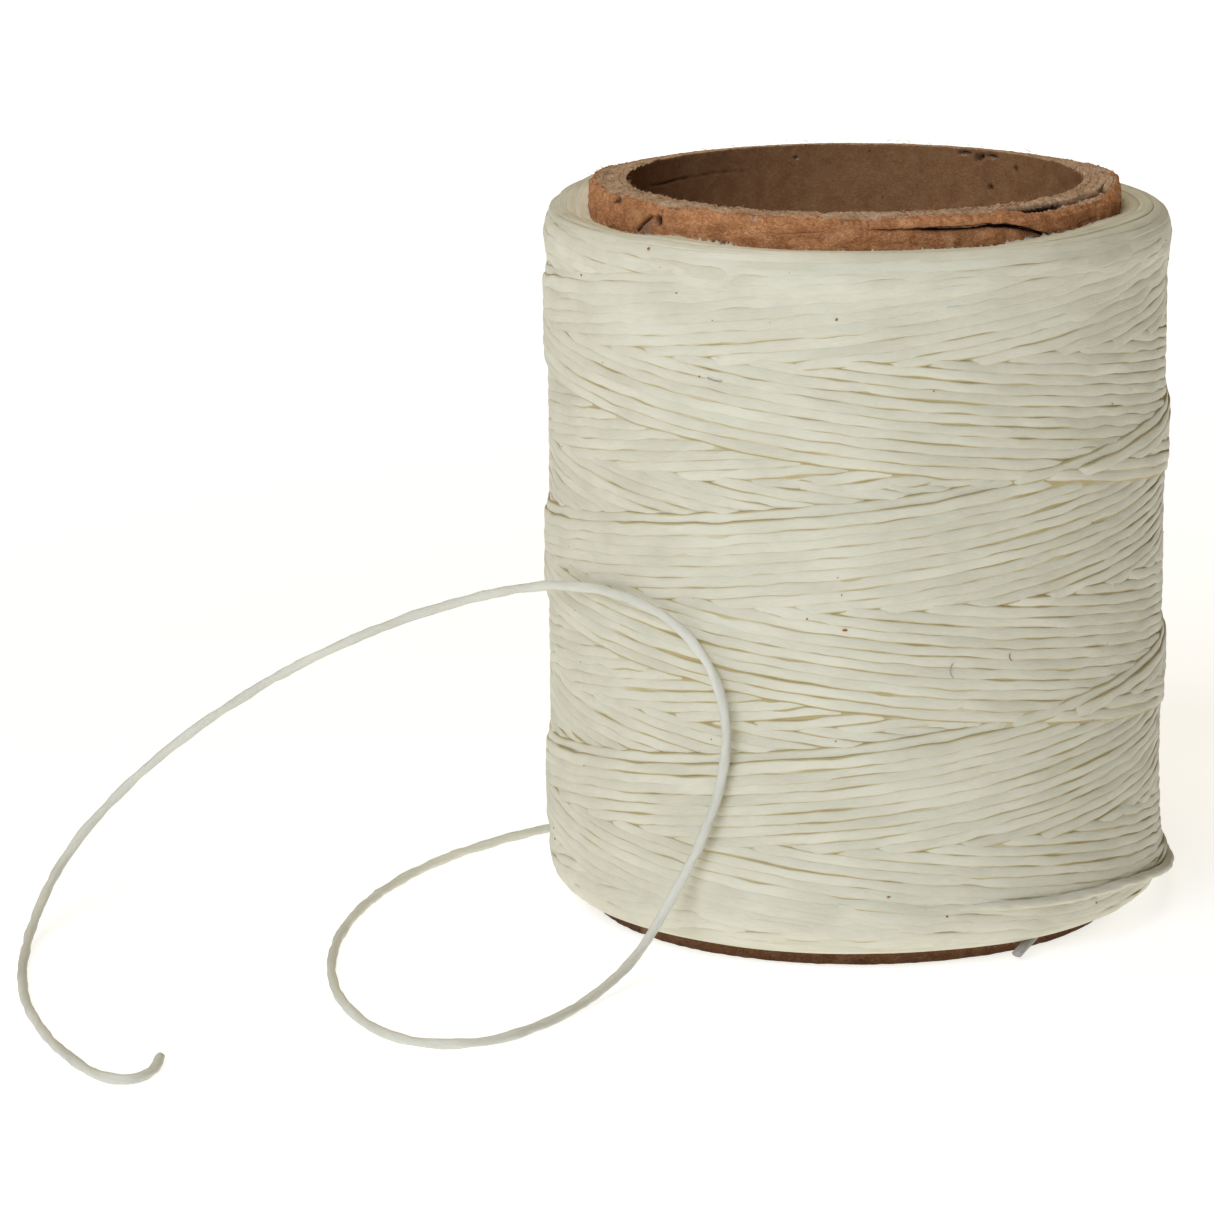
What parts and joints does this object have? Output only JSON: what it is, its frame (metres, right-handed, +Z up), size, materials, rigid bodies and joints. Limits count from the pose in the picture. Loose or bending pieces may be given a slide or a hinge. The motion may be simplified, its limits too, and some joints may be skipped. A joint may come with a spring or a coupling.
{
  "type": "waxed thread spool",
  "caption": "Open cardboard tube wound with flat waxed thread for hand stitching leather, with its working end lying loose in a loop.",
  "frame": {"origin": "centre of the tube's bottom rim, on the surface that the spool stands on", "axes": "+Z up the bore's axis; the front, where the loose tail climbs over the winding, faces -Y; the tail's cut tip lies towards -X"},
  "size_m": [0.098, 0.0856, 0.062],
  "materials": {
    "grey_board": "matte",
    "kraft_board": "matte",
    "waxed_thread": "satin"
  },
  "bodies": {
    "root": {"core_liner_ply": "grey_board", "core_body_ply_1": "grey_board", "core_body_ply_2": "grey_board", "core_body_ply_3": "grey_board", "core_kraft_wrap": "kraft_board", "thread_layers_bottom": "waxed_thread", "thread_layers_lower": "waxed_thread", "thread_layers_upper": "waxed_thread", "thread_layers_outer": "waxed_thread", "thread_start_stub": "waxed_thread", "thread_last_turn": "waxed_thread", "thread_tail": "waxed_thread"}
  },
  "joints": []
}
